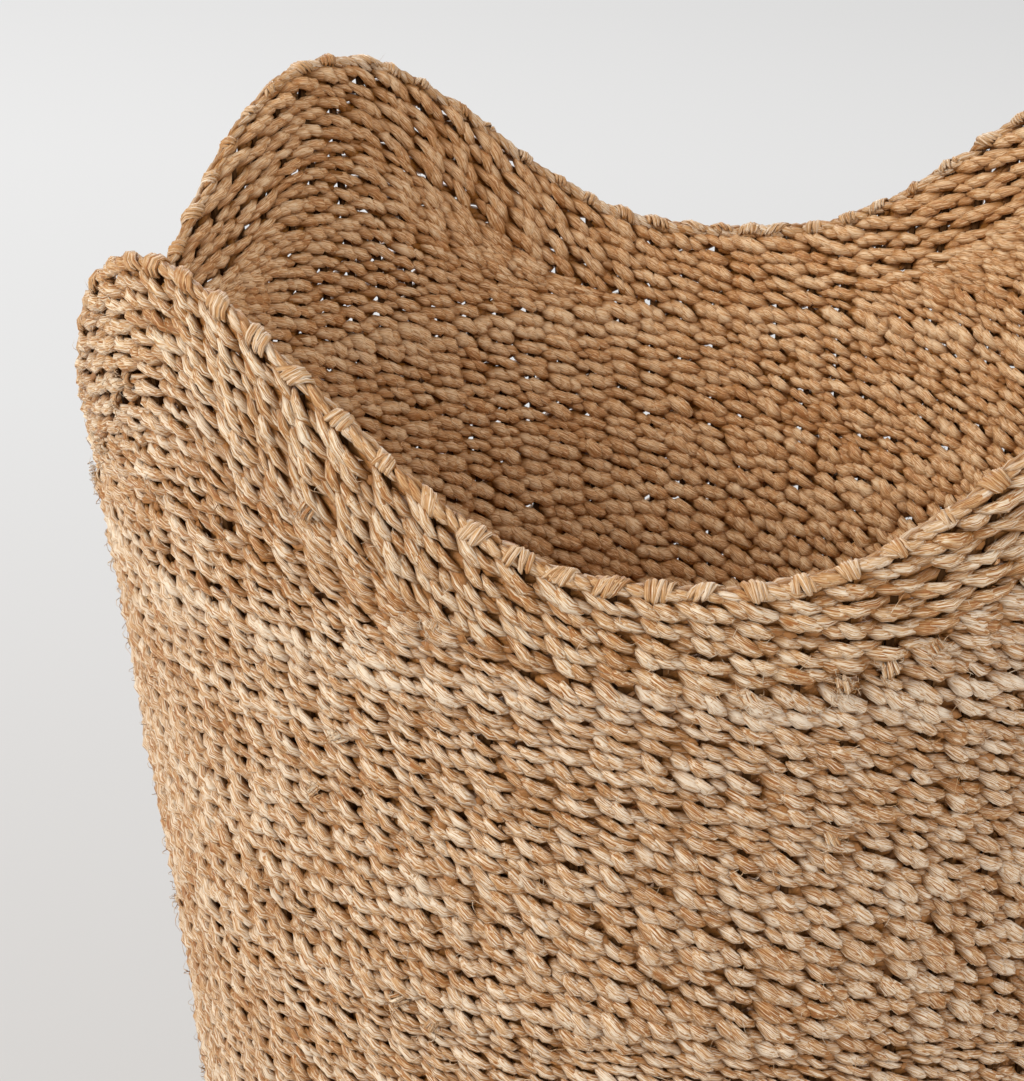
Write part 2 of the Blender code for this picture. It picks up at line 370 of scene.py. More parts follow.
@dataclass
class Copies:
    """Copies of one shape, gathered before they become a mesh."""

    shape: Shape
    lay_turn: float = 0.5
    pattern_room: float = 400.0
    painted_side_shade_from: float = 0.55
    painted_side_shade_gain: float = 0.36
    points: list[Array] = field(default_factory=list)
    fibre: list[Array] = field(default_factory=list)
    tone: list[Array] = field(default_factory=list)
    depth: list[Array] = field(default_factory=list)

    @property
    def count(self) -> int:
        """How many copies there are."""
        return sum(len(block) for block in self.points)

    def lay(
        self, paths: Array, outward: Array, radius: Array, tone: Array, depth: Array,
        random: Random, flat: float = 0.86,
    ) -> None:
        """Bend one copy of the shape along each path.

        Args:
            paths: (copies, stops, 3) points of each path at the shape's stops.
            outward: (copies, 3) directions that each copy shows, or one for each stop.
            radius: (copies,) radius of each copy.
            tone: (copies,) tone of each copy, from 0 to 1.
            depth: (copies, stops) how exposed each path is, from 0 to 1; the finish paints shade
                where it is low.
            random: source of the pattern's offsets.
            flat: how thick a copy is against its width.
        """
        at = np.searchsorted(self.shape.stops, np.round(self.shape.points[:, 2], 4))
        along = unit(np.gradient(paths, axis=1))
        facing = outward if outward.ndim == 3 else outward[:, None]
        across = unit(np.cross(np.broadcast_to(facing, along.shape), along))
        up = np.cross(along, across)
        x, y, z = self.shape.points.T
        self.points.append(
            paths[:, at]
            + across[:, at] * np.outer(radius, x)[..., None]
            + up[:, at] * np.outer(radius, y * flat)[..., None]
        )
        length = np.linalg.norm(np.diff(paths, axis=1), axis=-1).sum(axis=1)
        turned = self.lay_turn * z
        strands = np.stack(
            [
                np.outer(radius, x * np.cos(turned) - y * np.sin(turned)),
                np.outer(radius, x * np.sin(turned) + y * np.cos(turned)),
                np.outer(length / 2, z),
            ],
            axis=-1,
        )
        offset = random.uniform(0, self.pattern_room, (len(paths), 1, 3))
        self.fibre.append(strands / MM + offset)
        self.tone.append(np.repeat(tone[:, None], len(z), axis=1))
        # Painted shade on each copy's inward side: its depth value drops on the side that faces
        # into the weave.
        painted_shade_exposure = self.painted_side_shade_gain * (y - self.painted_side_shade_from)
        self.depth.append(np.clip(depth[:, at] + painted_shade_exposure, 0, 1))


# Twining


@dataclass(frozen=True)
class CordStyle:
    """How a twined pair of two-ply cords lies over the stakes.

    Lengths are in metres, and the places along a stitch are shares of its pitch.
    """

    reach: float = 1.5 * MM
    drop: float = 1.5 * MM
    ply_offset: float = 1.2 * MM
    ply_radius: float = 2.0 * MM
    ply_turn: float = 2.0
    ply_half_share: float = 0.45
    ply_places_share: tuple[float, ...] = (-0.29, 0.12, 0.53)
    missing_chance: float = 0.0
    unevenness: float = 1.0
    # shade: how much painted shade the plies get where they lie deeper in the weave, 1 for all of
    # it.
    shade: float = 1.0


@dataclass(frozen=True)
class Hand:
    """How unevenly a maker's hand lays the stitches and their plies."""

    stitch_sway: float = 0.07
    ply_sway: float = 0.06
    length_spread: Span = (0.24, 0.20)
    thickness_spread: Span = (0.22, 0.16)
    offset_spread: Span = (0.30, 0.25)
    twist_spread: Span = (0.15, 0.15)
    turn_sway: float = 0.25
    up_sway: float = 0.30 * MM
    out_sway: float = 0.25 * MM
    drop_spread: Span = (0.40, 0.30)
    tone_sway: float = 0.16


@dataclass
class Twining:
    """Lays rows of stitches on the form."""

    form: BasketForm
    style: CordStyle
    random: Random
    hand: Hand = Hand()
    step: float = 1e-4
    least_radius: float = 10 * MM

    def points(self, row: Row, angle: Array, up: Array, out: Array) -> Array:
        """Points beside a row.

        Args:
            row: the row.
            angle: angles along it.
            up: how far up the weave from it.
            out: how far out of the weave's middle surface.

        Returns:
            An array of the same shape with a last axis of three coordinates.
        """
        level = row.level(angle)
        rise = row.level(angle + self.step) - row.level(angle - self.step)
        radius = np.maximum(self.flat_radius(level), self.least_radius)
        lean = np.arctan2(rise / (2 * self.step), radius)
        along = angle - up * np.sin(lean) / radius
        return self.form.place(along, level + up * np.cos(lean), out)

    def flat_radius(self, level: Array) -> Array:
        """Distance of a level from the basket's axis."""
        nowhere = np.zeros_like(level)
        return -self.form.place(nowhere, level, nowhere)[..., 1]

    def lay_row(self, copies: Copies, row: Row, side: Side) -> None:
        """Lay every ply of one row on one side of the weave.

        Args:
            copies: where the plies are gathered.
            row: the row.
            side: the face that shows them.
        """
        style, hand, random = self.style, self.hand, self.random
        rough = style.unevenness
        count = len(row.centres)
        places = np.tile(style.ply_places_share, count)
        stitch = np.repeat(np.arange(count), len(style.ply_places_share))
        kept = random.random(len(stitch)) >= style.missing_chance
        places, stitch = places[kept], stitch[kept]
        total = len(stitch)
        places += random.normal(0, hand.stitch_sway * rough, count)[stitch]
        places += random.normal(0, hand.ply_sway * rough, total)
        half = style.ply_half_share * about_one(random, hand.length_spread, total, rough)
        size = row.size[stitch]
        thick = size * about_one(random, hand.thickness_spread, total, rough)
        offset = style.ply_offset * size * about_one(random, hand.offset_spread, total)
        stops = copies.shape.stops
        twist = style.ply_turn * about_one(random, hand.twist_spread, total)
        turn = math.pi / 2 + random.normal(0, hand.turn_sway * rough, total)
        turn = turn[:, None] + np.outer(twist, stops)
        along = places[:, None] + np.outer(half, stops)
        loose_up = random.normal(0, hand.up_sway * rough, count)[stitch]
        loose_out = random.normal(0, hand.out_sway * rough, count)[stitch]
        drop = style.drop * size * about_one(random, hand.drop_spread, count)[stitch]
        up = (
            loose_up[:, None]
            - drop[:, None] * np.sin(math.pi * along)
            + offset[:, None] * np.cos(turn)
        )
        out = (
            loose_out[:, None]
            + style.reach * np.cos(math.pi * along)
            + offset[:, None] * np.sin(turn)
        )
        angle = row.centres[stitch][:, None] + side.value * along * row.pitch
        paths = self.points(row, angle, up, side.value * out)
        ahead = self.points(row, angle, up, side.value * (out + MM))
        outward = unit((ahead - paths)[:, len(stops) // 2])
        # Depth value for the painted shade: plies that lie further in the weave get more of the
        # finish's painted shade, scaled by the style's shade.
        most = style.reach + style.ply_offset
        depth = 1 - style.shade * (1 - (out + most) / (2 * most))
        tone = np.clip(row.tone[stitch] + random.normal(0, hand.tone_sway, total), 0, 1)
        copies.lay(paths, outward, style.ply_radius * thick, tone, depth, random)


@dataclass
class Weft:
    """The rows of the basket's twining, from the base to the rim."""

    form: BasketForm
    wave_count: int = 9
    wave_turns: tuple[int, int] = (2, 13)
    wave_rates: Span = (20, 80)
    wave_weights: Span = (0.4, 1)
    row_sway: float = 0.07
    shift_drift: float = 0.16
    shift_change: float = 700.0
    row_thickness_sway: float = 0.03
    stitch_thickness_sway: float = 0.05
    thickness_drift: float = 0.12
    thickness_change: float = 3.0
    usual_tone: float = 0.5
    tone_by_thickness: float = 0.20
    row_tone_sway: float = 0.09
    stitch_tone_sway: float = 0.06
    tone_drift: float = 0.19
    dark_chance: float = 0.012
    dark_drop: float = 0.45
    cord_memory: float = 0.70
    cord_sway: float = 0.13
    cord_limits: Span = (0.72, 1.32)
    wander: float = 1.6 * MM
    calm_edge: float = 40 * MM
    course_thickness: float = 1.04
    peak_rows: int = 13
    peak_bow_share: float = 0.88
    peak_bow_power: float = 1.4
    least_room_share: float = 0.12
    tip_thickness: Span = (0.62, 0.45)
    thinnest_tip: float = 0.65
    foot_rows: int = 3
    eye_radius: float = 30 * MM
    coarse_until: float = 72 * MM
    middling_until: float = 118 * MM

    def __post_init__(self) -> None:
        """Draw the slow waves that make neighbouring rows run alike."""
        random = Draw.WAVES.random()
        self.waves = [
            (int(turns), random.uniform(0, math.tau), random.uniform(*self.wave_rates),
             random.uniform(*self.wave_weights))
            for turns in random.integers(*self.wave_turns, self.wave_count)
        ]

    def wobble(self, angle: Array, level: float) -> Array:
        """A slow rise and fall of the rows.

        Args:
            angle: angles from the front.
            level: the row's level, with which the rise and fall changes.

        Returns:
            Its value at each angle, near 1 at most.
        """
        total = sum(
            weight * np.sin(turns * angle + phase + rate * level)
            for turns, phase, rate, weight in self.waves
        )
        return total / len(self.waves)

    def row(
        self, level: Level, centres: Array, pitch: float, random: Random, size: float = 1.0
    ) -> Row:
        """Make a row with its own thick and thin stretches and its own tone.

        Args:
            level: its level at an angle.
            centres: the angles of its stitches, before they shift.
            pitch: the angle of a stitch.
            random: source of the differences.
            size: thickness of its cord against the usual one.

        Returns:
            The row.
        """
        count = len(centres)
        height = float(np.mean(level(centres)))
        turned = centres + random.uniform(0, math.tau)
        slow = self.wobble(turned, height * self.thickness_change)
        shift = random.normal(0, self.row_sway)
        shift += self.shift_drift * self.wobble(2 * centres + height * self.shift_change, height)
        centres = centres + pitch * shift
        usual = size * random.normal(1, self.row_thickness_sway)
        thick = self.thickness_drift * slow + random.normal(0, self.stitch_thickness_sway, count)
        tone = self.usual_tone + self.tone_by_thickness * (size - 1)
        tone = random.normal(tone, self.row_tone_sway)
        slow = self.wobble(2 * centres + random.uniform(0, math.tau), height)
        tone = tone + self.tone_drift * slow + random.normal(0, self.stitch_tone_sway, count)
        dark = random.random(count) < self.dark_chance
        tone = np.where(dark, tone - self.dark_drop, tone)
        return Row(level, centres, pitch, usual * (1 + thick), tone)

    def all_round(self, every: int = 1) -> tuple[Array, float]:
        """The stitch centres of a full row that passes so many stakes at a time."""
        pitch = self.form.stake_angle * every
        return (np.arange(self.form.stakes // every) + 0.5) * pitch, pitch

    def cords(self, count: int, random: Random) -> Array:
        """Thickness of each row's cord against the usual one, alike for a few rows at a time.

        Args:
            count: how many rows there are.
            random: source of the differences.

        Returns:
            One factor for each row.
        """
        thick = np.empty(count)
        drift = 0.0
        for number in range(count):
            drift = self.cord_memory * drift + random.normal(0, self.cord_sway)
            thick[number] = 1 + drift
        return np.clip(thick, *self.cord_limits)

    def alike(self, levels: list[Level], random: Random, size: float = 1.0) -> list[Row]:
        """Full rows of one thickness at the given levels."""
        return [self.row(level, *self.all_round(), random, size) for level in levels]

    def wavy(self, angle: Array, middle: float, held: float) -> Array:
        """Level of a wall row that wanders about its middle."""
        return middle + self.wander * held * self.wobble(angle, middle)

    def wall(self) -> list[Row]:
        """Plan the horizontal rows.

        Returns:
            The rows, from the foot up.
        """
        form = self.form
        random = Draw.WALL.random()
        room = form.wall_top - form.foot_top
        cords = self.cords(round(room / form.course_pitch), random)
        heights = cords / cords.sum() * room
        centres, pitch = self.all_round()
        rows = []
        for cord, middle in zip(cords, form.foot_top + np.cumsum(heights) - heights / 2):
            nearest_edge = min(form.wall_top - middle, middle - form.foot_top)
            held = min(1.0, nearest_edge / self.calm_edge)
            level = partial(self.wavy, middle=middle, held=held)
            rows.append(self.row(level, centres, pitch, random, cord))
        return rows

    def courses(self) -> list[Row]:
        """Plan the scalloped courses.

        Returns:
            The rows, from the lowest up.
        """
        depths = (np.arange(self.form.courses, 0, -1) - 0.5) * self.form.course_pitch
        levels = [partial(self.form.under_rim, depth=depth) for depth in depths]
        return self.alike(levels, Draw.COURSES.random(), self.course_thickness)

    def bowed(self, angle: Array, base: float, bow: float, top: float) -> Array:
        """Level of a short row, which bows more or less as the rim above it does.

        Args:
            angle: angles from the front.
            base: its level in the scallop's middle.
            bow: how much of the rim's bow it has.
            top: level of the courses' lower edge in the scallop's middle.

        Returns:
            Its level at each angle.
        """
        depth = self.form.courses * self.form.course_pitch
        return base - bow * (top - self.form.under_rim(angle, depth))

    def peak(self, index: int) -> list[Row]:
        """Plan the short rows under one scallop, level at the bottom and bowed at the top.

        Args:
            index: the scallop's number, from 0.

        Returns:
            Its rows, from the lowest up.
        """
        form = self.form
        random = Draw.PEAKS.random(index)
        middle = (index + 0.5) * math.tau / form.scallops
        depth = form.courses * form.course_pitch
        top = float(form.under_rim(np.array(middle), depth))
        rise = (top - form.wall_top) / self.peak_rows
        stakes, pitch = self.all_round()
        near = stakes[np.abs(stakes - middle) < math.pi / form.scallops]
        rows = []
        for number in range(self.peak_rows):
            base = form.wall_top + (number + 0.5) * rise
            bow = self.peak_bow_share * (number / (self.peak_rows - 1)) ** self.peak_bow_power
            level = partial(self.bowed, base=base, bow=bow, top=top)
            space = form.under_rim(near, depth) - level(near)
            centres = near[space > self.least_room_share * form.course_pitch]
            if len(centres) > 1:
                row = self.row(level, centres, pitch, random)
                above = (form.under_rim(centres, depth) - level(centres)) / form.course_pitch
                least, gain = self.tip_thickness
                row.size *= np.clip(least + gain * above, self.thinnest_tip, 1)
                rows.append(row)
        return rows

    def foot(self) -> list[Row]:
        """Plan the heavy rows round the turn of the foot.

        Returns:
            The rows, from the lowest up.
        """
        below = (np.arange(self.foot_rows, 0, -1) - 0.5) / self.foot_rows * self.form.turn_length
        levels = [partial(np.full_like, fill_value=self.form.foot_top - depth) for depth in below]
        return self.alike(levels, Draw.FOOT.random())

    def base(self) -> list[Row]:
        """Plan the rows of the base, which pass fewer stakes at a time further out.

        Returns:
            The rows, from the eye out.
        """
        form = self.form
        random = Draw.BASE.random()
        count = round((form.base_edge - self.eye_radius) / form.course_pitch)
        step = (form.base_edge - self.eye_radius) / count
        rows = []
        for number in range(count):
            radius = self.eye_radius + (number + 0.5) * step
            every = 4 if radius < self.coarse_until else 2 if radius < self.middling_until else 1
            centres, pitch = self.all_round(every)
            level = partial(np.full_like, fill_value=form.base_row_level(radius))
            shift = random.uniform(0, pitch)
            rows.append(self.row(level, centres + shift, pitch, random))
        return rows


# Shader maths


@dataclass(frozen=True)
class Wire:
    """A shader socket that takes part in sums written in Python."""

    tree: "NodeTree"
    socket: bpy.types.NodeSocket

    def _sum(self, operation: str, first: "Wire | float", second: "Wire | float") -> "Wire":
        """Add a Math node for one operation on values."""
        return self.tree.node("ShaderNodeMath", {"operation": operation}, {0: first, 1: second})

    def __add__(self, other: "Wire | float") -> "Wire":
        """This value plus another."""
        return self._sum("ADD", self, other)

    __radd__ = __add__

    def __sub__(self, other: "Wire | float") -> "Wire":
        """This value less another."""
        return self._sum("SUBTRACT", self, other)

    def __rsub__(self, other: float) -> "Wire":
        """A number less this value."""
        return self._sum("SUBTRACT", other, self)

    def __mul__(self, other: "Wire | float") -> "Wire":
        """This value times another."""
        return self._sum("MULTIPLY", self, other)

    __rmul__ = __mul__


@dataclass
class NodeTree:
    """Builds the nodes of one material or world."""

    owner: bpy.types.Material | bpy.types.World

    def __post_init__(self) -> None:
        """Start without nodes."""
        self.owner.use_nodes = True
        self.nodes = self.owner.node_tree.nodes
        self.links = self.owner.node_tree.links
        self.nodes.clear()

    def node(
        self, kind: str, settings: dict[str, object], inputs: dict[int | str, object],
        output: int | str = 0,
    ) -> Wire:
        """Add a node.

        Args:
            kind: the node's type.
            settings: its properties, set before its sockets; "stops" fills a ramp.
            inputs: values or wires of its sockets, by name or number.
            output: the socket that is wanted.

        Returns:
            The wanted output.
        """
        made = self.nodes.new(kind)
        for name, value in settings.items():
            if name == "stops":
                self.fill_ramp(made.color_ramp, value)
            else:
                setattr(made, name, value)
        for name, value in inputs.items():
            if isinstance(value, Wire):
                self.links.new(value.socket, made.inputs[name])
            else:
                made.inputs[name].default_value = value
        return Wire(self, made.outputs[output])

    @staticmethod
    def fill_ramp(ramp: bpy.types.ColorRamp, stops: tuple[tuple[float, Colour], ...]) -> None:
        """Give a ramp its stops.

        Args:
            ramp: the ramp of a new node.
            stops: a place and a colour for each stop.
        """
        while len(ramp.elements) < len(stops):
            ramp.elements.new(0.5)
        for element, (place, colour) in zip(ramp.elements, stops):
            element.position = place
            element.color = (*colour, 1)

    def attribute(self, label: str, output: str = "Fac") -> Wire:
        """What the mesh says of its points under a label."""
        return self.node("ShaderNodeAttribute", {"attribute_name": label}, {}, output)

    def vector(self, operation: str, first: Wire, second: object, output: str = "Vector") -> Wire:
        """One operation on two vectors."""
        settings = {"operation": operation}
        return self.node("ShaderNodeVectorMath", settings, {0: first, 1: second}, output)

    def axis(self, place: Wire, name: str) -> Wire:
        """One coordinate of a place."""
        return self.node("ShaderNodeSeparateXYZ", {}, {0: place}, name)

    def noise(self, place: Wire, waves: tuple[float, ...], detail: float, rough: float) -> Wire:
        """Noise that is drawn out along some axes.

        Args:
            place: where it is read.
            waves: how many waves it has to a unit along each axis.
            detail: how many times finer waves are added.
            rough: how strong the finer waves are.

        Returns:
            Its value.
        """
        scaled = self.vector("MULTIPLY", place, waves)
        inputs = {"Vector": scaled, "Scale": 1.0, "Detail": detail, "Roughness": rough}
        return self.node("ShaderNodeTexNoise", {}, inputs, "Fac")

    def ramp(self, amount: Wire, *stops: tuple[float, Colour]) -> Wire:
        """A colour that runs through some stops, each a place and a colour."""
        return self.node("ShaderNodeValToRGB", {"stops": stops}, {"Fac": amount}, "Color")

    def between(self, value: Wire, ends: Span, results: Span, way: str = "LINEAR") -> Wire:
        """Turn the stretch between two values into another one.

        Args:
            value: the value.
            ends: the ends of its stretch, past which the result stays the same.
            results: what they become.
            way: how the result runs between them.

        Returns:
            The result.
        """
        inputs = {"Value": value, "From Min": ends[0], "From Max": ends[1]}
        inputs |= {"To Min": results[0], "To Max": results[1]}
        return self.node("ShaderNodeMapRange", {"interpolation_type": way}, inputs)

    def mix(self, share: Wire, first: object, second: object) -> Wire:
        """A colour between two others."""
        inputs = {"Factor": share, 6: first, 7: second}
        return self.node("ShaderNodeMix", {"data_type": "RGBA"}, inputs, 2)

    def surface(
        self, colour: Wire, rough: Wire, height: Wire, bump: tuple[float, float], specular: float
    ) -> Wire:
        """A plain surface with a bump.

        Args:
            colour: its colour.
            rough: its roughness.
            height: the bump's height, from 0 to 1.
            bump: the bump's strength and its greatest height in metres.
            specular: how strongly it mirrors light.

        Returns:
            The shader.
        """
        inputs = {"Strength": bump[0], "Distance": bump[1], "Height": height}
        normal = self.node("ShaderNodeBump", {}, inputs, "Normal")
        inputs = {"Base Color": colour, "Roughness": rough, "Normal": normal}
        inputs |= {"Specular IOR Level": specular}
        return self.node("ShaderNodeBsdfPrincipled", {}, inputs)

    def close(
        self, shader: Wire, end: str = "ShaderNodeOutputMaterial"
    ) -> bpy.types.Material | bpy.types.World:
        """Join the last shader to the output and hand over what it belongs to."""
        self.links.new(shader.socket, self.nodes.new(end).inputs["Surface"])
        return self.owner


@dataclass(frozen=True)
class FibreFinish:
    """Dry plant fibre, twisted into plies: long fine streaks, pale where it catches light, and a
    painted shade colour where the mesh's depth value is low.

    Waves are counted per millimetre across the fibres and along them, and a pair of values
    is for the broad streaks and the fine hairs.
    """

    name: str
    slot: str
    # A dark brown painted where plies lie deep in the weave or face into it: painted shade, not a
    # colour of the fibre.
    painted_shade_colour: Colour = (0.22, 0.080, 0.007)
    dark: Colour = (0.30, 0.105, 0.019)
    middle: Colour = (0.52, 0.30, 0.125)
    pale: Colour = (0.765, 0.655, 0.52)
    tone_places: Triple = (0.0, 0.42, 0.95)
    roughness: float = 0.42
    roughness_gain: float = 0.35
    specular: float = 0.45
    across: Span = (1.9, 3.3)
    along: Span = (0.07, 0.11)
    detail: float = 2.0
    grit: float = 0.6
    line_gains: Span = (2.1, 3.6)
    heights: Span = (0.8, 0.7)
    bump: tuple[float, float] = (0.9, 0.6 * MM)
    contrast: float = 1.0
    tone_gain: float = 0.68
    lightness: float = 0.185
    # Depth values over which the painted shade fades out.
    painted_shade_range: Span = (0.36, 1.06)

    def material(self) -> bpy.types.Material:
        """Build the finish's material.

        Returns:
            The material.
        """
        tree = NodeTree(bpy.data.materials.new(self.name))
        fibre = tree.attribute("fibre", "Vector")
        streak, hair = (
            tree.noise(fibre, (across, across, along), self.detail, self.grit)
            for across, along in zip(self.across, self.along)
        )
        lines = (streak - 0.5) * self.line_gains[0] + (hair - 0.5) * self.line_gains[1]
        amount = tree.attribute("tone") * self.tone_gain + lines * self.contrast + self.lightness
        open_colour = tree.ramp(amount, *zip(self.tone_places, (self.dark, self.middle, self.pale)))
        # Painted shade: where the depth value is low, the dark painted shade colour replaces the
        # fibre's colour, darkening crevices and the inward sides of plies.
        clear_of_painted_shade = tree.between(tree.attribute("depth"), self.painted_shade_range, (0, 1), "SMOOTHSTEP")
        colour = tree.mix(clear_of_painted_shade, (*self.painted_shade_colour, 1), open_colour)
        rough = (hair - 0.5) * self.roughness_gain + self.roughness
        height = hair * self.heights[1] + streak * self.heights[0]
        return tree.close(tree.surface(colour, rough, height, self.bump, self.specular))


@dataclass(frozen=True)
class CaneFinish:
    """Split cane of one bundle: painted near-black shade where the weave covers it, its own paler
    colour where it lies open in the base.
    """

    name: str
    turn: float
    # dark and pale: near-black painted shade for the cane inside the weave, which shows only
    # through gaps.
    dark: Colour = (0.03, 0.012, 0.003)
    pale: Colour = (0.08, 0.036, 0.012)
    painted_shade_places: Span = (0.3, 0.75)
    open_dark: Colour = (0.12, 0.055, 0.02)
    open_pale: Colour = (0.54, 0.325, 0.158)
    open_places: Span = (0.25, 0.75)
    open_below: Span = (14 * MM, 20 * MM)
    grain_gain: float = 0.8
    grain_start: float = 0.1
    ridge_gain: float = 0.22
    roughness: float = 0.7
    roughness_gain: float = 0.3
    specular: float = 0.05
    grain_waves: Triple = (900.0, 900.0, 60.0)
    detail: float = 3.0
    grit: float = 0.5
    cane_width: float = 1.8 * MM
    heights: Span = (0.4, 0.5)
    bump: tuple[float, float] = (0.7, 0.4 * MM)

    def material(self) -> bpy.types.Material:
        """Build the finish's material.

        Returns:
            The material.
        """
        tree = NodeTree(bpy.data.materials.new(self.name))
        place = tree.node("ShaderNodeTexCoord", {}, {}, "Object")
        grain = tree.noise(place, self.grain_waves, self.detail, self.grit)
        sideways = (math.cos(self.turn), math.sin(self.turn), 0.0)
        across = tree.vector("DOT_PRODUCT", place, sideways, "Value")
        turns = across * (math.tau / self.cane_width)
        ridge = tree.node("ShaderNodeMath", {"operation": "SINE"}, {0: turns})
        painted_shade_cane = tree.ramp(grain, *zip(self.painted_shade_places, (self.dark, self.pale)))
        amount = grain * self.grain_gain + self.grain_start + ridge * self.ridge_gain
        lying_open = tree.ramp(amount, *zip(self.open_places, (self.open_dark, self.open_pale)))
        # Painted shade: above the base the cane takes the near-black shaded colours.
        painted_shade_mask = tree.between(tree.axis(place, "Z"), self.open_below, (0, 1))
        colour = tree.mix(painted_shade_mask, lying_open, painted_shade_cane)
        rough = (grain - 0.5) * self.roughness_gain + self.roughness
        height = grain * self.heights[0] + ridge * self.heights[1]
        return tree.close(tree.surface(colour, rough, height, self.bump, self.specular))


# The basket's sub-assemblies


@dataclass
class Dresser:
    map_margin: float = 0.06
    finishes: dict[str, bpy.types.Material] = field(default_factory=dict)
    faces: int = 0

    @staticmethod
    def flat(blocks: list[list[Array]]) -> Array:
        """The values of all blocks in one row, as Blender takes them."""
        return np.concatenate([block.ravel() for part in blocks for block in part]).astype("f4")

    def mesh(self, name: str, parts: list[Copies]) -> bpy.types.Mesh:
        """Make one mesh of all the copies, each with its own cell of the map.

        Args:
            name: the piece's name.
            parts: the copies, by shape.

        Returns:
            The mesh.
        """
        corners, counts, places = [], [], []
        side = math.ceil(math.sqrt(sum(part.count for part in parts)))
        start = cell = 0
        for part in parts:
            shape, number = part.shape, np.arange(part.count)
            first = start + len(shape.points) * number
            corners.append((np.concatenate(shape.faces) + first[:, None]).ravel())
            counts.append(np.tile([len(face) for face in shape.faces], part.count))
            corner = np.stack([(cell + number) % side, (cell + number) // side], axis=-1)
            inset = shape.map * (1 - 2 * self.map_margin) + self.map_margin
            places.append((inset + corner[:, None]) / side)
            start += len(shape.points) * part.count
            cell += part.count
        corners, counts = np.concatenate(corners), np.concatenate(counts)
        mesh = bpy.data.meshes.new(name)
        mesh.vertices.add(start)
        mesh.vertices.foreach_set("co", self.flat([part.points for part in parts]))
        mesh.loops.add(len(corners))
        mesh.loops.foreach_set("vertex_index", corners.astype("i4"))
        mesh.polygons.add(len(counts))
        mesh.polygons.foreach_set("loop_start", (np.cumsum(counts) - counts).astype("i4"))
        mesh.polygons.foreach_set("use_smooth", np.ones(len(counts), bool))
        mesh.uv_layers.new(name=BAKE_MAP, do_init=False)
        mesh.update(calc_edges=True)
        mesh.uv_layers[BAKE_MAP].uv.foreach_set("vector", self.flat([places]))
        for label, kind, slot, blocks in (
            ("fibre", "FLOAT_VECTOR", "vector", [part.fibre for part in parts]),
            ("tone", "FLOAT", "value", [part.tone for part in parts]),
            ("depth", "FLOAT", "value", [part.depth for part in parts]),
        ):
            attribute = mesh.attributes.new(label, kind, "POINT")
            attribute.data.foreach_set(slot, self.flat(blocks))
        return mesh

    def add(self, name: str, parts: list[Copies], finish: FibreFinish, *nodes: str) -> None:
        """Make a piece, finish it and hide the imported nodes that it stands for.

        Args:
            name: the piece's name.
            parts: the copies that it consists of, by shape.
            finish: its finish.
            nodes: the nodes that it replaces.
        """
        piece = bpy.data.objects.new(name, self.mesh(name, parts))
        bpy.context.scene.collection.objects.link(piece)
        if finish.name not in self.finishes:
            self.finishes[finish.name] = finish.material()
        piece.data.materials.append(self.finishes[finish.name])
        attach(piece, BODY)
        if nodes:
            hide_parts(*nodes)
        triangles = sum(part.shape.triangles * part.count for part in parts)
        self.faces += triangles
        LOG.info("%s: %d triangles", name, triangles)


@dataclass
class Band:
    """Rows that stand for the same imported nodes, with the cord and the ply of either side."""

    name: str
    rows: list[Row]
    nodes: list[str]
    finish: FibreFinish
    outer: tuple[CordStyle, Shape]
    inner: tuple[CordStyle, Shape]


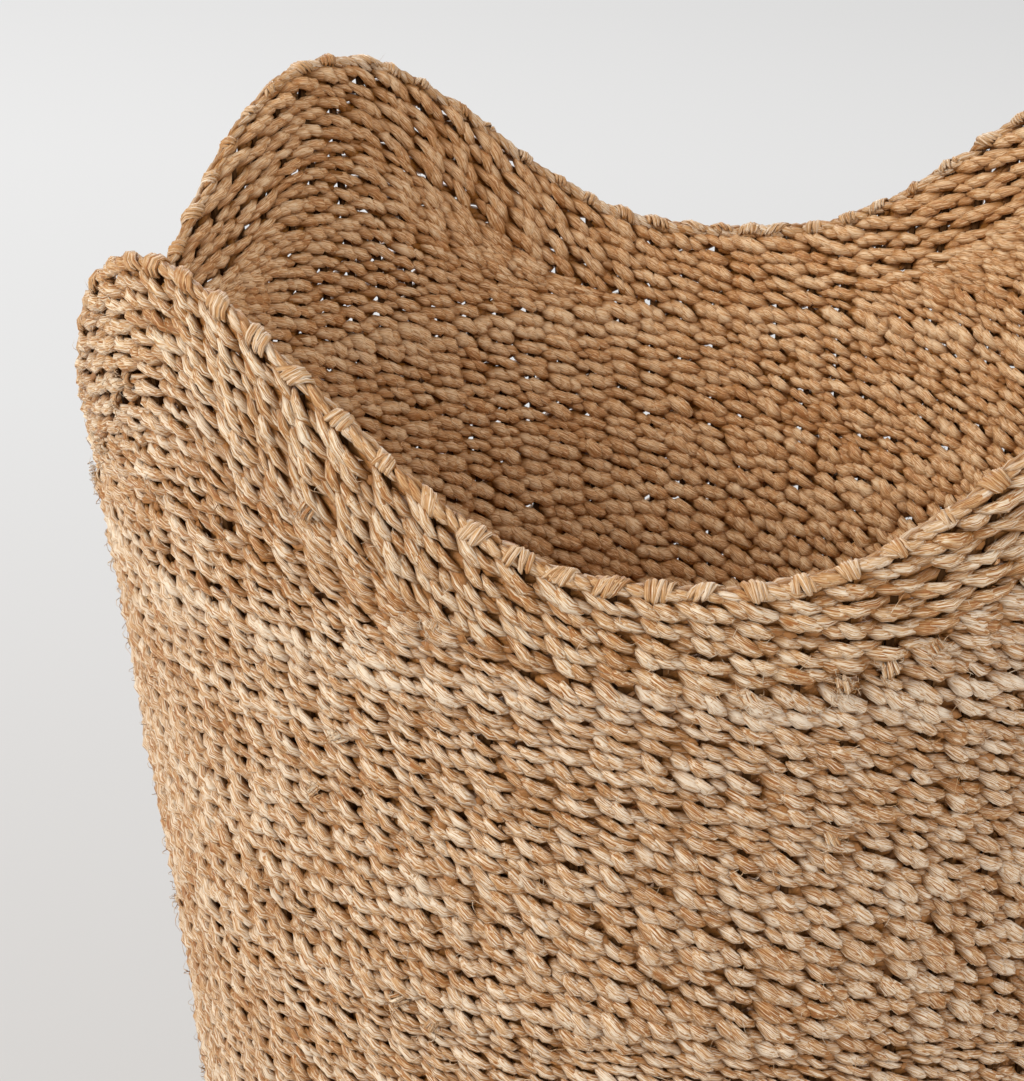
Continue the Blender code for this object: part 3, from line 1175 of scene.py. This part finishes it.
@dataclass
class TwinedWall:
    """The twined body of the basket, outside and inside."""

    form: BasketForm
    weft: Weft
    dresser: Dresser
    leaf: Shape
    inner_leaf: Shape
    base_leaf: Shape
    crest_finish: FibreFinish
    finish: FibreFinish = FibreFinish("weft_fibre_finish", "weft_fibre")
    foot_finish: FibreFinish = FibreFinish("foot_fibre_finish", "foot_fibre")
    # The inside's fibre is given brighter, warmer colours and a lighter painted shade than the
    # outside's: painted warm bounce light on the same fibre.
    inside_painted_bounce_finish: FibreFinish = FibreFinish(
        "inside_fibre_finish", "weft_fibre", painted_shade_colour=(0.34, 0.145, 0.038),
        dark=(0.36, 0.145, 0.042), middle=(0.60, 0.325, 0.132), pale=(0.82, 0.61, 0.39),
    )
    style: CordStyle = CordStyle()
    inner_style: CordStyle = CordStyle(
        ply_half_share=0.41, ply_places_share=(-0.46, -0.10, 0.27), ply_radius=2.24 * MM
    )
    foot_style: CordStyle = CordStyle(reach=2.6 * MM, ply_offset=1.4 * MM, ply_radius=2.2 * MM)
    base_style: CordStyle = CordStyle(
        ply_half_share=0.41, ply_places_share=(-0.44, -0.10, 0.24), ply_radius=2.1 * MM
    )
    peak_style: CordStyle = CordStyle(unevenness=1.35)
    crest_style: CordStyle = CordStyle(ply_radius=2.1 * MM, ply_offset=1.25 * MM)
    most_triangles: int = 186000

    def bands(self) -> list[Band]:
        """Plan every band of the basket.

        Returns:
            The bands, in the order in which they are made.
        """
        weft, leaf, finish = self.weft, self.leaf, self.finish
        courses = [f"scallop_course_{row}" for row in range(1, self.form.courses + 1)]
        crest, foot = (self.crest_style, leaf), (self.foot_style, leaf)
        inner, base = (self.inner_style, self.inner_leaf), (self.base_style, self.base_leaf)
        planned = [
            Band("wall", weft.wall(), ["wall_weave"], finish, (self.style, leaf), inner),
            Band("crest", weft.courses(), courses, self.crest_finish, crest, inner),
            Band("foot", weft.foot(), ["foot_course"], self.foot_finish, foot, inner),
            Band("base", weft.base(), ["base_weave"], finish, base, base),
        ]
        for index in range(self.form.scallops):
            name, nodes = f"peak_{index + 1}", [f"peak_weave_{index + 1}"]
            rows = weft.peak(index)
            planned.append(Band(name, rows, nodes, finish, (self.peak_style, leaf), inner))
        return planned

    def make_side(self, band: Band, side: Side, random: Random) -> None:
        """Make one side of a band, in as many pieces as its triangles need.

        Args:
            band: the band.
            side: the side.
            random: source of its unevenness.
        """
        style, leaf = band.outer if side is Side.OUTSIDE else band.inner
        twining = Twining(self.form, style, random)
        pieces = [Copies(leaf)]
        for row in band.rows:
            twining.lay_row(pieces[-1], row, side)
            each = leaf.triangles * len(row.centres) * len(style.ply_places_share)
            if pieces[-1].count * leaf.triangles + each > self.most_triangles:
                pieces.append(Copies(leaf))
        # The inside gets the copy of the fibre with painted warm bounce light.
        finish = band.finish if side is Side.OUTSIDE else self.inside_painted_bounce_finish
        for number, copies in enumerate(pieces, 1):
            if copies.count:
                name = f"{band.name}_{side.name.lower()}_stitches_{number}"
                self.dresser.add(name, [copies], finish, *band.nodes)

    def build(self) -> None:
        """Make both sides of every band."""
        for number, band in enumerate(self.bands()):
            for side in Side:
                self.make_side(band, side, Draw.BANDS.random(2 * number))


@dataclass(frozen=True)
class WrapStyle:
    """How the strands of a wrapped knot are wound round a line of the weave."""

    winding: float
    strand: float
    gap: float
    strands: int
    aim: float
    half_arc: float
    out: float = 0.0
    knot_spread: Span = (0.18, 0.15)
    arc_spread: Span = (0.15, 0.10)
    aim_sway: float = 0.25
    lean_sway: float = 0.35
    strand_lean_sway: float = 0.12
    gap_sway_share: float = 0.14
    barrel_share: float = 0.20
    winding_spread: Span = (0.06, 0.08)
    strand_spread: Span = (0.25, 0.20)
    tone: float = 0.42
    knot_tone_sway: float = 0.13
    strand_tone_sway: float = 0.12
    # Depth value along each strand: high in the middle and lower towards the ends, where they tuck
    # under, which paints shade there.
    painted_shade_exposure: float = 0.95
    painted_shade_at_ends: float = 0.12
    flat: float = 0.72
    step: float = 1e-3

    def lay(
        self, copies: Copies, form: BasketForm, line: Level, angle: Array, random: Random
    ) -> None:
        """Wind the strands of every knot.

        Args:
            copies: where the strands are gathered.
            form: the basket's form.
            line: level of the line at an angle.
            angle: the angle of each knot.
            random: source of their unevenness.
        """
        count, each = len(angle), self.strands
        out = np.full(count, self.out)
        here = form.place(angle, line(angle), out)
        along = unit(form.place(angle + self.step, line(angle + self.step), out) - here)
        outward = unit(form.place(angle, line(angle), out + MM) - here)
        upward = np.cross(outward, along)
        stops = copies.shape.stops
        number = np.arange(each) - (each - 1) / 2
        size = about_one(random, self.knot_spread, (count, 1))
        arc = self.half_arc * about_one(random, self.arc_spread, (count, each))
        aim = self.aim + random.normal(0, self.aim_sway, (count, 1))
        around = aim[..., None] + arc[..., None] * stops
        skew = random.normal(0, self.lean_sway, (count, 1))
        skew = skew + random.normal(0, self.strand_lean_sway, (count, each))
        shift = number * self.gap * size
        shift = shift + random.normal(0, self.gap_sway_share * self.gap, (count, each))
        shift = shift[..., None] + (skew * self.winding * arc)[..., None] * stops
        barrel = 1 - self.barrel_share * (2 * number / max(each - 1, 1)) ** 2
        wound = self.winding * size * barrel
        wound = wound * about_one(random, self.winding_spread, (count, each))
        facing = (
            outward[:, None, None] * np.cos(around)[..., None]
            + upward[:, None, None] * np.sin(around)[..., None]
        )
        paths = (
            here[:, None, None] + along[:, None, None] * shift[..., None]
            + facing * wound[..., None, None]
        )
        total = count * each
        shape = (total, len(stops), 3)
        thick = self.strand * about_one(random, self.strand_spread, total)
        tone = np.repeat(random.normal(self.tone, self.knot_tone_sway, count), each)
        tone = np.clip(tone + random.normal(0, self.strand_tone_sway, total), 0, 1)
        # Painted shade towards each strand's ends.
        depth = np.broadcast_to(self.painted_shade_exposure - self.painted_shade_at_ends * stops**2, shape[:2])
        copies.lay(
            paths.reshape(shape), facing.reshape(shape), thick, tone, depth, random, self.flat,
        )


@dataclass
class RimBinding:
    """The rim cord and the wrapped knots that hold the stake ends to it."""

    form: BasketForm
    dresser: Dresser
    leaf: Shape
    strand: Shape
    finish: FibreFinish = FibreFinish("rim_fibre_finish", "rim_fibre", contrast=0.6)
    cord_height: float = 2.0 * MM
    thickness_spread: Span = (0.12, 0.12)
    tone: float = 0.46
    tone_sway: float = 0.10
    knots: WrapStyle = WrapStyle(
        winding=2.9 * MM, strand=1.05 * MM, gap=1.2 * MM, strands=5, aim=1.2, half_arc=2.4,
    )
    style: CordStyle = CordStyle(
        reach=0.0, drop=0.0, ply_offset=1.25 * MM, ply_radius=1.8 * MM,
        ply_half_share=0.40, ply_places_share=(-0.33, 0.0, 0.33), unevenness=0.8,
        # Little painted shade, since the cord's middle lies open at the top of the rim.
        shade=0.35,
    )

    def line(self, angle: Array) -> Array:
        """Level of the middle of the rim cord."""
        return self.form.under_rim(angle, -self.cord_height)

    def build(self) -> None:
        """Make the rim as one piece."""
        random = Draw.RIM.random()
        pitch = self.form.stake_angle
        stakes = (np.arange(self.form.stakes) + 0.5) * pitch
        thick = about_one(random, self.thickness_spread, len(stakes))
        tone = random.normal(self.tone, self.tone_sway, len(stakes))
        row = Row(self.line, stakes + pitch / 2, pitch, thick, tone)
        cord, knots = Copies(self.leaf), Copies(self.strand)
        twining = Twining(self.form, self.style, Draw.RIM_CORD.random())
        for side in Side:
            twining.lay_row(cord, row, side)
        self.knots.lay(knots, self.form, self.line, stakes, random)
        self.dresser.add("rim_binding", [cord, knots], self.finish, "rim_cord")


@dataclass(frozen=True)
class HairStyle:
    """How long a kind of loose hair is, and how much it turns along its length."""

    longest: float
    curl: float


@dataclass
class LooseEnds:
    """Wrapped splices of the cords, their tufts, and fine hairs that have worked loose."""

    form: BasketForm
    dresser: Dresser
    hair: Shape
    strand: Shape
    finish: FibreFinish
    splices_at_courses: int = 60
    splices_in_wall: int = 34
    rows_under_courses: float = 0.4
    wall_share: Span = (0.2, 0.9)
    tuft: int = 18
    tuft_angle_sway: float = 0.010
    tuft_level_sway: float = 2.0 * MM
    tuft_hair: HairStyle = HairStyle(longest=6.0 * MM, curl=2.4)
    hairs: int = 3200
    stray_hair: HairStyle = HairStyle(longest=10.0 * MM, curl=1.3)
    low_hairs_power: float = 0.8
    shortest_share: float = 0.2
    short_hairs_power: float = 1.7
    thickness: float = 0.16 * MM
    thickness_spread: Span = (0.4, 0.3)
    skin: float = 4.4 * MM
    least_lift: float = 0.2 * MM
    lift: float = 2.2 * MM
    low_lift_power: float = 2.0
    lifted_share: float = 1.2
    tones: Span = (0.5, 1.0)
    # Depth value of the hairs: high, so they get almost no painted shade.
    painted_shade_exposure: float = 0.95
    wraps: WrapStyle = WrapStyle(
        winding=2.5 * MM, strand=0.8 * MM, gap=1.2 * MM, strands=3, aim=0.1, half_arc=1.6,
        out=2.0 * MM,
    )

    def splice_spots(self, random: Random) -> tuple[Array, Array]:
        """Choose where the splices sit.

        Args:
            random: source of the places.

        Returns:
            Their angles and their depths under the rim.
        """
        form = self.form
        count = self.splices_at_courses + self.splices_in_wall
        angle = (random.integers(0, form.stakes, count) + 0.5) * form.stake_angle
        depth = np.full(count, (form.courses + self.rows_under_courses) * form.course_pitch)
        shares = random.uniform(*self.wall_share, self.splices_in_wall)
        depth[self.splices_at_courses:] = shares * (form.valley_height - form.foot_top)
        return angle, depth

    def build(self) -> None:
        """Make the wraps and the hairs as one piece."""
        form = self.form
        random = Draw.LOOSE_ENDS.random()
        angle, depth = self.splice_spots(random)
        wraps, hairs = Copies(self.strand), Copies(self.hair)
        self.wraps.lay(wraps, form, partial(form.under_rim, depth=depth), angle, random)
        tufts = len(angle) * self.tuft
        around = np.repeat(angle, self.tuft) + random.normal(0, self.tuft_angle_sway, tufts)
        beside = np.repeat(form.under_rim(angle, depth), self.tuft)
        beside = beside + random.normal(0, self.tuft_level_sway, tufts)
        anywhere = random.uniform(0, math.tau, self.hairs)
        room = form.under_rim(anywhere, 0.0) - form.foot_top
        high = form.foot_top + room * random.uniform(0, 1, self.hairs) ** self.low_hairs_power
        self.lay_hairs(hairs, around, beside, self.tuft_hair, random)
        self.lay_hairs(hairs, anywhere, high, self.stray_hair, random)
        self.dresser.add("loose_fibre_ends", [wraps, hairs], self.finish)

    def lay_hairs(
        self, copies: Copies, angle: Array, level: Array, style: HairStyle, random: Random
    ) -> None:
        """Lay curled hairs that start at the given places of the outside.

        Args:
            copies: where the hairs are gathered.
            angle: angle of each start.
            level: level of each start.
            style: how long the hairs are and how much they curl.
            random: source of their differences.
        """
        form = self.form
        count = len(angle)
        longer = random.random(count) ** self.short_hairs_power
        length = style.longest * (self.shortest_share + (1 - self.shortest_share) * longer)
        bearing = random.uniform(0, math.tau, count)
        turns = random.normal(0, style.curl, count)
        lifted = self.least_lift + self.lift * random.random(count) ** self.low_lift_power
        share = (copies.shape.stops[None] + 1) / 2
        heading = bearing[:, None] + turns[:, None] * share
        step = length[:, None] * np.gradient(share, axis=1)
        across = np.cumsum(step * np.cos(heading), axis=1)
        upward = np.cumsum(step * np.sin(heading), axis=1)
        rise = np.sin(math.pi * np.minimum(share * self.lifted_share, 1.0))
        out = self.skin + lifted[:, None] * rise
        level_at = np.maximum(level[:, None] + upward, form.foot_top)
        paths = form.place(angle[:, None] + across / form.radius(level)[:, None], level_at, out)
        outward = unit(paths[:, 0] * np.array([1, 1, 0]))
        thick = self.thickness * about_one(random, self.thickness_spread, count)
        tone = random.uniform(*self.tones, count)
        depth = np.full(paths.shape[:2], self.painted_shade_exposure)
        copies.lay(paths, outward, thick, tone, depth, random, flat=1.0)


# Floor, lights and camera


@dataclass(frozen=True)
class FloorFinish:
    """A pale, seamless floor: a little warm up close, whiter further off, dark under the foot."""

    name: str = "pale_floor"
    colour: Colour = (0.78, 0.78, 0.79)
    roughness: float = 0.4
    reach: float = 3.0
    stops: tuple[tuple[float, Colour], ...] = (
        (0.0, (0.625, 0.607, 0.589)),
        (0.17, (0.685, 0.675, 0.667)),
        (0.33, (0.722, 0.722, 0.720)),
        (0.57, (0.740, 0.740, 0.740)),
        (0.83, (0.712, 0.712, 0.712)),
    )
    sides: Span = (-0.9, 0.35)
    side_shift: Span = (0.084, -0.033)
    seen_share: float = 0.9
    under_basket: Span = (0.135, 0.155)

    def material(self) -> bpy.types.Material:
        """Build the floor's material.

        Returns:
            The material.
        """
        tree = NodeTree(bpy.data.materials.new(self.name))
        inputs = {"Color": (*self.colour, 1), "Roughness": self.roughness}
        lit = tree.node("ShaderNodeBsdfDiffuse", {}, inputs)
        place = tree.node("ShaderNodeTexCoord", {}, {}, "Object")
        far = tree.ramp(tree.axis(place, "Y") * (1 / self.reach), *self.stops)
        shift = tree.between(tree.axis(place, "X"), self.sides, self.side_shift)
        inputs = {"Base Color": (0, 0, 0, 1), "Specular IOR Level": 0.0}
        inputs |= {"Emission Color": tree.vector("ADD", far, shift), "Emission Strength": 1.0}
        plain = tree.node("ShaderNodeBsdfPrincipled", {}, inputs)
        rays = ("Is Camera Ray", "Is Glossy Ray", "Is Transmission Ray")
        camera, glossy, through = (tree.node("ShaderNodeLightPath", {}, {}, ray) for ray in rays)
        away = tree.node("ShaderNodeVectorMath", {"operation": "LENGTH"}, {0: place}, "Value")
        open_floor = tree.between(away, self.under_basket, (0, 1))
        seen = (camera + glossy + through) * self.seen_share * open_floor
        return tree.close(tree.node("ShaderNodeMixShader", {}, {0: seen, 1: lit, 2: plain}))


@dataclass(frozen=True)
class Lamp:
    """A square soft light that looks at the basket."""

    name: str
    place: Triple
    size: float
    power: float
    colour: Colour = (1.0, 1.0, 1.0)


@dataclass(frozen=True)
class Studio:
    """The floor, the lights and the camera."""

    floor_radius: float = 6.0
    floor_sides: int = 96
    world_colour: Colour = (0.70, 0.70, 0.70)
    world_light: Colour = (1.0, 0.94, 0.87)
    world_strength: float = 0.67
    aim: Triple = (0.0, 0.0, 0.20)
    lamps: tuple[Lamp, ...] = (
        Lamp("key_light", (-1.9, -1.1, 1.5), 1.1, 51.0, (1.0, 0.97, 0.905)),
        Lamp("fill_light", (1.8, -1.6, 1.4), 1.6, 29.0, (0.98, 0.99, 1.01)),
        Lamp("back_light", (-0.3, 1.9, 1.8), 1.4, 30.0),
    )
    lens: float = 102.14
    sensor: float = 36.0
    clip: Span = (0.01, 50.0)
    camera_place: Triple = (0.0325, -0.9635, 0.6051)
    camera_yaw: float = -0.102
    camera_pitch: float = 0.3429

    def build(self) -> None:
        """Make the floor, the lights, the world and the camera."""
        self.make_floor()
        for lamp in self.lamps:
            self.make_lamp(lamp)
        self.make_world()
        self.make_camera()

    @staticmethod
    def stand(item: bpy.types.Object, place: tuple[float, ...], facing: Vector) -> None:
        """Put a lamp or a camera in its place and turn it.

        Args:
            item: the new object.
            place: where it stands.
            facing: the direction that it looks in.
        """
        bpy.context.scene.collection.objects.link(item)
        item.location = place
        item.rotation_euler = facing.to_track_quat("-Z", "Y").to_euler()

    def make_floor(self) -> None:
        """A large round floor."""
        Workbench.clear_selection()
        bpy.ops.mesh.primitive_circle_add(
            vertices=self.floor_sides, radius=self.floor_radius, fill_type="NGON",
            location=(0, 0, 0),
        )
        floor = bpy.context.view_layer.objects.active
        floor.name = "studio_floor"
        floor.data.materials.append(FloorFinish().material())

    def make_lamp(self, lamp: Lamp) -> None:
        """Make one area light, turned to the basket.

        Args:
            lamp: what it is like.
        """
        data = bpy.data.lights.new(lamp.name, "AREA")
        data.shape = "SQUARE"
        data.size = lamp.size
        data.energy = lamp.power
        data.color = lamp.colour
        facing = Vector(self.aim) - Vector(lamp.place)
        self.stand(bpy.data.objects.new(lamp.name, data), lamp.place, facing)

    def make_world(self) -> None:
        """An even pale surround, which lights the basket a little more warmly than it shows."""
        tree = NodeTree(bpy.data.worlds.new("studio_world"))
        inputs = {"Color": (*self.world_light, 1), "Strength": self.world_strength}
        lit = tree.node("ShaderNodeBackground", {}, inputs)
        inputs = {"Color": (*self.world_colour, 1), "Strength": 1.0}
        plain = tree.node("ShaderNodeBackground", {}, inputs)
        seen = tree.node("ShaderNodeLightPath", {}, {}, "Is Camera Ray")
        mixed = tree.node("ShaderNodeMixShader", {}, {0: seen, 1: lit, 2: plain})
        bpy.context.scene.world = tree.close(mixed, "ShaderNodeOutputWorld")

    def make_camera(self) -> None:
        """The camera where the photograph was taken from."""
        data = bpy.data.cameras.new("photo_camera")
        data.lens = self.lens
        data.sensor_width = self.sensor
        data.sensor_fit = "AUTO"
        data.clip_start, data.clip_end = self.clip
        camera = bpy.data.objects.new("photo_camera", data)
        facing = Vector((
            math.sin(self.camera_yaw) * math.cos(self.camera_pitch),
            math.cos(self.camera_yaw) * math.cos(self.camera_pitch),
            -math.sin(self.camera_pitch),
        ))
        self.stand(camera, self.camera_place, facing)
        bpy.context.scene.camera = camera


def dress_stakes(bundles: int = 5) -> None:
    """Give the stake bundles, which stay as imported, the look of split cane.

    Args:
        bundles: how many there are.
    """
    for index in range(bundles):
        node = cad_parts[f"stake_bundle_{index + 1}"]
        cane = CaneFinish(f"stake_cane_{index + 1}", index * math.pi / bundles)
        node.data.materials.clear()
        node.data.materials.append(cane.material())
        LOG.info("%s: kept, with a cane finish", node.name)


def main() -> None:
    """Dress the whole basket and set up its studio."""
    logging.basicConfig(level=logging.INFO, format="%(name)s %(message)s")
    form, bench, dresser = BasketForm(), Workbench(), Dresser()
    leaf = bench.leaf(sides=5, rings=6, fullness=0.90)
    inner_leaf = bench.leaf(sides=5, rings=4, fullness=1.0)
    base_leaf = bench.leaf(sides=4, rings=4, fullness=1.0)
    strand = bench.leaf(sides=5, rings=8, fullness=1.2)
    crest_finish = FibreFinish(
        "scallop_fibre_finish", "scallop_fibre", middle=(0.54, 0.31, 0.125),
        pale=(0.79, 0.68, 0.53),
    )
    weft = Weft(form)
    TwinedWall(form, weft, dresser, leaf, inner_leaf, base_leaf, crest_finish).build()
    RimBinding(form, dresser, leaf, strand).build()
    LooseEnds(form, dresser, bench.hair(4), strand, crest_finish).build()
    dress_stakes()
    LOG.info("new pieces: %d triangles", dresser.faces)
    Studio().build()
    bpy.context.scene.view_settings.view_transform = "Standard"


if __name__ == "__main__":
    main()
